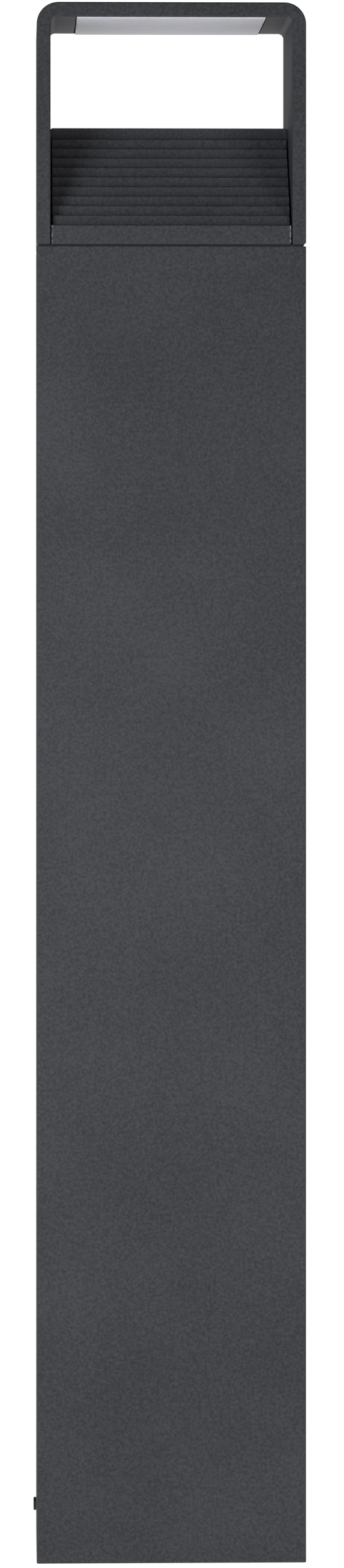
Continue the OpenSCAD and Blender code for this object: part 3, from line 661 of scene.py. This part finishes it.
# %% Cut the lamp's pocket, recess and duct
end_gap, side_gap, ledge_w = 0.8 * MM, 0.3 * MM, 4 * MM
lead_r, duct_r, into_the_recess = 1 * MM, 1.4 * MM, 2 * MM
below_the_bar, below_the_ledge, below_the_leg = 4 * MM, 1 * MM, 2 * MM
past_the_duct = 0.7  # of the duct's radius, so that the two bores meet fully
seal_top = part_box("diffuser_seal")[1].z
board_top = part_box("led_board")[1].z
lead_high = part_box("led_lead")[1]
pocket_x, pocket_y = cover_high.x + end_gap, cover_high.y + side_gap
recess_x, recess_y = pocket_x - ledge_w, pocket_y - ledge_w
duct_x, duct_z = lead_high.x - lead_r, lead_high.z - lead_r
cut(head,
    block((-pocket_x, -pocket_y, bar_z - below_the_bar), (pocket_x, pocket_y, seal_top)),
    block((-recess_x, -recess_y, seal_top - below_the_ledge), (recess_x, recess_y, board_top)),
    rod((duct_x, 0, head_low.z - below_the_leg), (duct_x, 0, duct_z), duct_r, 24),
    rod((recess_x - into_the_recess, 0, duct_z),
        (duct_x + duct_r * past_the_duct, 0, duct_z), duct_r, 24))
wear(head, coat)
head = shade(head)
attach(head, "root"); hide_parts("head_frame")
report(head)

# %% [markdown]
# ## The stepped baffle
# The baffle follows a rule: from a narrow ridge, ten equal steps go down to a plain lip, to the
# front and to the back. That is work for Geometry Nodes. The tree lays out a row of points and
# works out each one's place from its number: the first half of the numbers runs down the front,
# the second half comes back up behind. The steps' number, rise and run are inputs.

# %% Build the step tree
step_count, step_rise, ridge_rise, ridge_w = 10, 6.5 * MM, 1.2 * MM, 4 * MM
step_run = (half_d - ridge_w / 2) / step_count


def new_tree(name, sockets):
    tree = bpy.data.node_groups.new(name, "GeometryNodeTree")
    tree.interface.new_socket("Geometry", in_out="OUTPUT", socket_type="NodeSocketGeometry")
    for label, kind, default in sockets:
        socket = tree.interface.new_socket(label, in_out="INPUT", socket_type="NodeSocket" + kind)
        if default is not None:
            socket.default_value = default
    outputs = add_node(tree, "NodeGroupInput").outputs
    return tree, {label: outputs[label] for label, _, _ in sockets}


def end_tree(tree, geometry, finish):
    real = add_node(tree, "GeometryNodeRealizeInstances", {"Geometry": geometry}).outputs[0]
    finished = add_node(tree, "GeometryNodeSetMaterial", {"Geometry": real, "Material": finish})
    add_node(tree, "NodeGroupOutput", {"Geometry": finished.outputs[0]})


def grow(name, tree, values):
    """Run a tree with these values and keep the plain mesh it makes."""
    thing = add_object(name, bpy.data.meshes.new(name))
    run = thing.modifiers.new("nodes", "NODES")
    run.node_group = tree
    for item in tree.interface.items_tree:
        if item.in_out == "INPUT" and item.name in values:
            run[item.identifier] = values[item.name]
    return bake(thing)


step_tree, given = new_tree("steps_down_both_sides", [
    ("Steps", "Int", 10), ("Rise", "Float", 0.006), ("Run", "Float", 0.006),
    ("Ridge Width", "Float", 0.004), ("Ridge Rise", "Float", 0.001), ("Lip Height", "Float", 0.012),
    ("Edge Radius", "Float", 0.0005), ("Length", "Float", 0.15), ("Finish", "Material", None)])
known = {**given, "number": add_node(step_tree, "GeometryNodeInputIndex").outputs[0]}
work_out(step_tree, known, [
    ("half count", "MULTIPLY_ADD", "Steps", 2.0, 2.0),
    ("all count", "MULTIPLY", "half count", 2.0),
    ("last in front", "SUBTRACT", "half count", 0.5),
    ("behind", "GREATER_THAN", "number", "last in front"),
    ("in front", "SUBTRACT", 1.0, "behind"),
    ("last", "SUBTRACT", "all count", 1.0),
    ("from the end", "SUBTRACT", "last", "number"),
    ("front part", "MULTIPLY", "number", "in front"),
    ("from the ridge", "MULTIPLY_ADD", "from the end", "behind", "front part"),
    ("halved", "DIVIDE", "from the ridge", 2.0),
    ("step", "FLOOR", "halved"),
    ("lower", "MULTIPLY_ADD", "step", -2.0, "from the ridge")])
print(f"step run {step_run * 1000:.2f} mm, step tree nodes so far: {len(step_tree.nodes)}")

# %% [markdown]
# Each step has an upper and a lower point. The number of steps above a point gives its place
# across, and the number still below it gives its height. The ridge is a little higher than a
# step, and the last point goes down to the foot of the lip. The tree then makes the points an
# outline, rounds all its corners with one radius, fills it and pushes it out to the baffle's
# length.

# %% Place the points, round the outline and push it out
step_edge, step_inset, under_lip = 0.6 * MM, 0.4 * MM, 3 * MM
slab_steps = 2  # the two lowest treads, the last step's and the lip's, are slabs, made below
work_out(step_tree, known, [
    ("side", "MULTIPLY_ADD", "behind", -2.0, 1.0),
    ("half ridge", "DIVIDE", "Ridge Width", 2.0),
    ("across", "MULTIPLY_ADD", "step", "Run", "half ridge"),
    ("place across", "MULTIPLY", "across", "side"),
    ("below", "SUBTRACT", "Steps", "step"),
    ("still below", "SUBTRACT", "below", "lower"),
    ("is ridge", "LESS_THAN", "from the ridge", 0.5),
    ("before the foot", "SUBTRACT", "half count", 1.5),
    ("is foot", "GREATER_THAN", "from the ridge", "before the foot"),
    ("rises", "ADD", "still below", "is foot"),
    ("climb", "MULTIPLY", "rises", "Rise"),
    ("ridge part", "MULTIPLY", "Ridge Rise", "is ridge"),
    ("lip part", "MULTIPLY", "Lip Height", "is foot"),
    ("ends", "SUBTRACT", "ridge part", "lip part"),
    ("up", "ADD", "climb", "ends")])
spot = add_node(step_tree, "ShaderNodeCombineXYZ", {
    "X": known["place across"], "Y": known["up"]}).outputs[0]
row = add_node(step_tree, "GeometryNodeMeshLine", {"Count": known["all count"]}).outputs[0]
placed = add_node(step_tree, "GeometryNodeSetPosition", {
    "Geometry": row, "Position": spot}).outputs[0]
outline = add_node(step_tree, "GeometryNodeMeshToCurve", {"Mesh": placed}).outputs[0]
closed = add_node(step_tree, "GeometryNodeSetSplineCyclic", {
    "Geometry": outline, "Cyclic": True}).outputs[0]
rounded = add_node(step_tree, "GeometryNodeFilletCurve", {"Curve": closed, "Count": 3,
                   "Radius": given["Edge Radius"], "Limit Radius": True}, mode="POLY").outputs[0]
filled = add_node(step_tree, "GeometryNodeFillCurve", {"Curve": rounded}, mode="NGONS").outputs[0]
long_way = add_node(step_tree, "ShaderNodeCombineXYZ", {"Z": given["Length"]}).outputs[0]
pushed = add_node(step_tree, "GeometryNodeExtrudeMesh", {"Mesh": filled, "Offset": long_way,
                  "Offset Scale": 1.0, "Individual": False}, mode="FACES").outputs[0]
base = add_node(step_tree, "GeometryNodeFlipFaces", {"Mesh": filled}).outputs[0]
both = add_node(step_tree, "GeometryNodeJoinGeometry")
step_tree.links.new(pushed, both.inputs[0])
step_tree.links.new(base, both.inputs[0])
whole = add_node(step_tree, "GeometryNodeMergeByDistance", {
    "Geometry": both.outputs[0], "Distance": SAME_SPOT}).outputs[0]
end_tree(step_tree, whole, given["Finish"])

baffle = grow("baffle_shell", step_tree, {
    "Steps": step_count - slab_steps, "Rise": step_rise, "Run": step_run, "Ridge Width": ridge_w,
    "Ridge Rise": ridge_rise, "Lip Height": step_rise + under_lip, "Edge Radius": step_edge,
    "Length": baffle_high.x - baffle_low.x - 2 * step_inset, "Finish": coat})
# The tree draws with depth on X, height on Y and length on Z.
turn = Matrix(((0, 0, 1, baffle_low.x + step_inset), (1, 0, 0, 0),
               (0, 1, 0, lip_z + slab_steps * step_rise), (0, 0, 0, 1)))
baffle.data.transform(turn)
tidy(baffle.data)
report(baffle)

# %% [markdown]
# The steps stand a little back from the legs, and the lowest one has plainly rounded ends. Below
# it the lip runs the full width between the legs, and a web under the ridge closes the gap to the
# legs. So the tree makes the upper steps, and the lowest step, the lip and the web are slabs with
# round edges, welded on by a union. The round edges at the ends are what the eye finds as thin
# light lines where the baffle meets the legs.

# %% Round the ends, and weld on the lowest step, the lip and the web
end_edge, low_step_corner, low_step_back = 0.45 * MM, 2.0 * MM, 0.1 * MM
lip_edge, weld_z = 0.7 * MM, head_low.z + 4 * MM
web_gap, web_drop, web_corner, web_edge = 0.02 * MM, 0.5 * MM, 0.3 * MM, 0.2 * MM
rounding = baffle.modifiers.new("ends", "BEVEL")
rounding.limit_method, rounding.angle_limit = "ANGLE", math.radians(60)
rounding.width, rounding.segments, rounding.use_clamp_overlap = end_edge, 3, False
bake(baffle)


def slab(name, x, z0, z1, foot, top, depth, edge):
    """A rectangle in X and Z with round corners, made solid from front to back."""
    outline = rounded_outline([(-x, z0, foot), (x, z0, foot), (x, z1, top), (-x, z1, top)], 8)
    front = [(-depth + go_in, shrink) for go_in, shrink in edge_steps(edge)]
    stations = front + [(-y, shrink) for y, shrink in front[::-1]]
    return loft(name, [[((p - out * shrink).x, y, (p - out * shrink).y) for p, out in outline]
                       for y, shrink in stations])


low_step = slab("low_step", baffle_high.x - step_inset - low_step_back, weld_z, lip_z + step_rise,
                step_edge, low_step_corner, half_d - step_run, step_edge)
lip = slab("lip", baffle_high.x, head_low.z, lip_z, lip_edge, lip_edge, half_d, lip_edge)
web = slab("web", baffle_high.x + baffle_gap - web_gap, weld_z, baffle_high.z - web_drop,
           web_corner, web_corner, ridge_w / 2 - web_edge, web_edge)
join_solids(baffle, low_step, lip, web)
report(baffle)

# %% [markdown]
# The casting is hollow below, so that it has an even wall, and four bosses inside take the screws
# that hold the head to the post. The hollow is cut with a core, as in the foundry: the core is a
# roof-shaped prism with four round holes, and each hole leaves a boss standing.

# %% Hollow the baffle with a core
wall = 3 * MM
slope = step_rise / step_run
peak = lip_z + (step_count - 1) * step_rise + slope * ridge_w / 2 - wall * math.sqrt(2)
inner_y = half_d - wall
eave = peak - slope * inner_y
end_x = baffle_high.x - wall
core_z = head_low.z - 2 * MM
boss_x, boss_y, boss_r = baffle_high.x - 32 * MM, half_d - 29 * MM, 5 * MM
boss_start, boss_stop = head_low.z - 10 * MM, peak + 10 * MM
corners = [(sx * boss_x, sy * boss_y) for sx in (-1, 1) for sy in (-1, 1)]
roof = [(-inner_y, core_z), (inner_y, core_z), (inner_y, eave), (0, peak), (-inner_y, eave)]
core = loft("core", [[(x, y, z) for y, z in roof] for x in (-end_x, end_x)])
cut(core, *[rod((x, y, boss_start), (x, y, boss_stop), boss_r) for x, y in corners])
cut(baffle, core)
report(baffle)

# %% [markdown]
# Each boss has a foot that reaches down through the gasket to the plate below, so that the screws
# don't crush the gasket. One foot is turned as a small mesh, and Geometry Nodes stand a copy on
# each point of a grid, whose two spacings are inputs. The same tree sets out the lamp's chips
# further on.

# %% A tree that puts one piece on every point of a grid
def grid_tree(name, piece, finish):
    tree, given = new_tree(name, [("Spacing X", "Float", 0.01), ("Spacing Y", "Float", 0.01),
                                  ("Columns", "Int", 2), ("Rows", "Int", 2)])
    known = work_out(tree, dict(given), [
        ("gaps along X", "SUBTRACT", "Columns", 1.0), ("gaps along Y", "SUBTRACT", "Rows", 1.0),
        ("span X", "MULTIPLY", "gaps along X", "Spacing X"),
        ("span Y", "MULTIPLY", "gaps along Y", "Spacing Y")])
    grid = add_node(tree, "GeometryNodeMeshGrid", {
        "Size X": known["span X"], "Size Y": known["span Y"],
        "Vertices X": given["Columns"], "Vertices Y": given["Rows"]}).outputs[0]
    model = add_node(tree, "GeometryNodeObjectInfo", {"Object": piece}).outputs["Geometry"]
    copies = add_node(tree, "GeometryNodeInstanceOnPoints", {
        "Points": grid, "Instance": model}).outputs[0]
    end_tree(tree, copies, finish)
    return tree


def turned(name, profile_points, sides=32):
    """A closed round piece from (radius, height) points, as on a lathe."""
    return loft(name, [[(u, v, height) for u, v in circle_points(0, 0, radius, sides)]
                       for radius, height in profile_points])


# %% [markdown]
# The foot is a little thinner than its boss, so that the weld leaves a clean shoulder and no two
# faces lie in one place. The four screw holes are bored last, through foot and boss together.

# %% Stand a foot under each boss, weld them on and bore the screw holes
baffle_foot_r, foot_top = boss_r - 0.3 * MM, head_low.z + 3 * MM
bore_r, bore_stop = 2.5 * MM, head_low.z + 16 * MM
foot = turned("one_foot", [(baffle_foot_r, baffle_low.z), (baffle_foot_r, foot_top)])
foot_tree = grid_tree("feet_on_a_grid", foot, coat)
feet = grow("boss_feet", foot_tree, {"Spacing X": 2 * boss_x, "Spacing Y": 2 * boss_y})
bpy.data.objects.remove(foot)
join_solids(baffle, feet)
cut(baffle, *[rod((x, y, boss_start), (x, y, bore_stop), bore_r, 24) for x, y in corners])
# this coat carries the painted highlight specks at the lip's ends
wear(baffle, highlight_speck_coat)
baffle = shade(baffle)
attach(baffle, "root"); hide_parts("stepped_baffle")
report(baffle)

# %% [markdown]
# ## The opal cover
# The cover is a plate with a soft edge, seated in the pocket with a narrow dark gap around it. It
# is lofted from a rounded rectangle whose upper and lower rims shrink along a quarter circle.

# %% Loft the cover
cover_corner, cover_edge = 1.0 * MM, 0.35 * MM
plan = rounded_outline([
    (-cover_high.x, -cover_high.y, cover_corner), (cover_high.x, -cover_high.y, cover_corner),
    (cover_high.x, cover_high.y, cover_corner), (-cover_high.x, cover_high.y, cover_corner)], 6)
rim = list(edge_steps(cover_edge, 3))
levels = [(cover_low.z + go_in, shrink) for go_in, shrink in rim]
levels += [(cover_high.z - go_in, shrink) for go_in, shrink in rim[::-1]]
cover = loft("opal_cover", [[((p - out * shrink).x, (p - out * shrink).y, z) for p, out in plan]
                            for z, shrink in levels])
wear(cover, opal)
cover = shade(cover)
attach(cover, "root"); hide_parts("diffuser")
report(cover)

# %% [markdown]
# ## The light-emitting chips
# Twenty-seven chips sit on the board in three rows. Each is a flat block whose lower face, the
# one that shines, is slightly domed. One chip is made and the same grid tree sets out the rest.

# %% Make a chip and set out the rows
columns, rows, chip_side = 9, 3, 3 * MM
chips_low, chips_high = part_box("led_chips")
half = chip_side / 2
# Each pair is a share of the half side and a height, from the dome's top down to the board.
dome = ((0.55, chips_low.z), (0.8, chips_low.z + 0.04 * MM), (0.86, chips_low.z + 0.1 * MM),
        (0.97, chips_low.z + 0.12 * MM), (1, chips_low.z + 0.2 * MM), (1, chips_high.z))
chip = loft("one_chip", [
    [(sx * half * share, sy * half * share, z) for sx, sy in ((-1, -1), (1, -1), (1, 1), (-1, 1))]
    for share, z in dome])
chip_tree = grid_tree("chips_on_a_grid", chip, phosphor)
chips = grow("phosphor_chips", chip_tree, {
    "Spacing X": (chips_high.x - chips_low.x - chip_side) / (columns - 1),
    "Spacing Y": (chips_high.y - chips_low.y - chip_side) / (rows - 1),
    "Columns": columns, "Rows": rows})
bpy.data.objects.remove(chip)
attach(chips, "root"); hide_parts("led_chips")
report(chips)

# %% [markdown]
# ## The side screws
# One black screw on each side of the foot holds the post to its anchor. The head is a flat
# cylinder with a softly broken edge and a hexagon socket. The screw is turned from its profile,
# and the socket is cut with a six-sided bar.

# %% Turn one screw and cut its socket
head_r, shank_r, shank_length = 4.25 * MM, 2.5 * MM, 15.3 * MM
head_t = screw_high.x - half_w
tip_in, tip_up, head_bevel, soft_rim = 0.4 * MM, 0.5 * MM, 0.1 * MM, 0.35 * MM
key_width, key_depth = 3 * MM, 1.2 * MM
profile_points = [(shank_r - tip_in, -shank_length), (shank_r, -shank_length + tip_up),
                  (shank_r, 0), (head_r - head_bevel, 0), (head_r, head_bevel)]
profile_points += [(head_r - shrink, head_t - go_in)
                   for go_in, shrink in list(edge_steps(soft_rim))[::-1]]
screw = turned("one_side_screw", profile_points, 48)
key = circle_points(0, 0, key_width / math.sqrt(3), 6)
cut(screw, loft("cutter", [[(u, v, z) for u, v in key]
                           for z in (head_t - key_depth, head_t + key_depth)]))
report(screw)

# %% [markdown]
# Two screws are too few for a grid, and each has to point its own way. So a small tree takes a
# row of two points, moves one to each side, and turns the copy on it a quarter turn outwards.

# %% Set a screw in each side
pair_tree, given = new_tree("a_screw_each_side", [
    ("Reach", "Float", 0.08), ("Height", "Float", 0.03), ("Screw", "Object", None),
    ("Finish", "Material", None)])
known = {**given, "number": add_node(pair_tree, "GeometryNodeInputIndex").outputs[0]}
work_out(pair_tree, known, [
    ("way", "MULTIPLY_ADD", "number", 2.0, -1.0),
    ("out", "MULTIPLY", "way", "Reach"),
    ("tilt", "MULTIPLY", "way", math.pi / 2)])
model = add_node(pair_tree, "GeometryNodeObjectInfo", {
    "Object": given["Screw"]}).outputs["Geometry"]
two = add_node(pair_tree, "GeometryNodeMeshLine", {"Count": 2}).outputs[0]
side_spot = add_node(pair_tree, "ShaderNodeCombineXYZ", {
    "X": known["out"], "Z": given["Height"]}).outputs[0]
spots = add_node(pair_tree, "GeometryNodeSetPosition", {
    "Geometry": two, "Position": side_spot}).outputs[0]
lean = add_node(pair_tree, "ShaderNodeCombineXYZ", {"Y": known["tilt"]}).outputs[0]
copies = add_node(pair_tree, "GeometryNodeInstanceOnPoints", {
    "Points": spots, "Instance": model, "Rotation": lean}).outputs[0]
end_tree(pair_tree, copies, given["Finish"])
screws = grow("side_fixing_screws", pair_tree, {
    "Reach": half_w, "Height": screw_z, "Screw": screw, "Finish": black_oxide})
bpy.data.objects.remove(screw)
tidy(screws.data)
screws = shade(screws)
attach(screws, "root"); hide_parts("side_screws")
report(screws)

# %% [markdown]
# ## The studio
# The light stands on a plain pale floor in front of white. The camera sees white all round, but
# the room that lights the coat is white only behind the light and dim in front, so the surfaces
# that face the camera stay dark and those seen at a glance shine.

# %% Build the room and the floor
seen_white, front_glow, back_glow = 1.02, 0.12, 0.45
glow_starts, glow_full = -0.1, 0.5  # how far the ray points to the back
floor_reach, floor_glow = 4.0, 0.9
floor_top, floor_foot = low.z - 0.2 * MM, low.z - 10 * MM
white = (1, 1, 1, 1)

scene = bpy.context.scene
scene.view_settings.view_transform = "Standard"
world = bpy.data.worlds.new("white_room")
world.use_nodes = True
room = world.node_tree
background = room.nodes["Background"]
background.inputs["Color"].default_value = white
background.inputs["Strength"].default_value = seen_white
heading = add_node(room, "ShaderNodeTexCoord").outputs["Generated"]
backward = add_node(room, "ShaderNodeSeparateXYZ", {0: heading}).outputs["Y"]
glow = add_node(room, "ShaderNodeMapRange", {
    "Value": backward, "From Min": glow_starts, "From Max": glow_full,
    "To Min": front_glow, "To Max": back_glow}).outputs["Result"]
dim = add_node(room, "ShaderNodeBackground", {"Color": white, "Strength": glow}).outputs[0]
seen = add_node(room, "ShaderNodeLightPath").outputs["Is Camera Ray"]
choose = add_node(room, "ShaderNodeMixShader", {0: seen, 1: dim, 2: background.outputs[0]})
room.links.new(choose.outputs[0], room.nodes["World Output"].inputs["Surface"])
scene.world = world

floor = block((-floor_reach, -floor_reach, floor_foot), (floor_reach, floor_reach, floor_top))
floor.name = floor.data.name = "floor"
floor_white, _, shader, _ = start_material("pale_floor", "#bcbcbc", 0.9)
shader.inputs["Emission Color"].default_value = white
shader.inputs["Emission Strength"].default_value = floor_glow
wear(floor, floor_white)
print("room and floor built")

# %% [markdown]
# Two soft lights stand left and right of the camera, a little below the head, and look down at
# the lower post. Their spread is narrowed, as by a grid on a softbox, so the tone fades towards
# the top. The left one is nearer and stronger, which gives the slow fall of tone from left to
# right.

# %% Place the two soft lights
light_width, light_depth, light_spread = 0.5, 0.3, math.radians(120)
lower_post = Vector((0, 0, 0.3))


def soft_light(name, stand_at, power, colour):
    lamp = bpy.data.lights.new(name, "AREA")
    lamp.shape, lamp.size, lamp.size_y = "RECTANGLE", light_width, light_depth
    lamp.energy, lamp.color, lamp.spread = power, paint(colour)[:3], light_spread
    stand = add_object(name, lamp)
    stand.location = stand_at
    stand.rotation_euler = (lower_post - Vector(stand_at)).to_track_quat("-Z", "Y").to_euler()


soft_light("left_soft_light", (-0.75, -1.2, 0.8), 4.7, "#eef3ff")
soft_light("right_soft_light", (0.85, -1.45, 0.8), 1.9, "#ffffff")
print("lights placed:", len(bpy.data.lights))
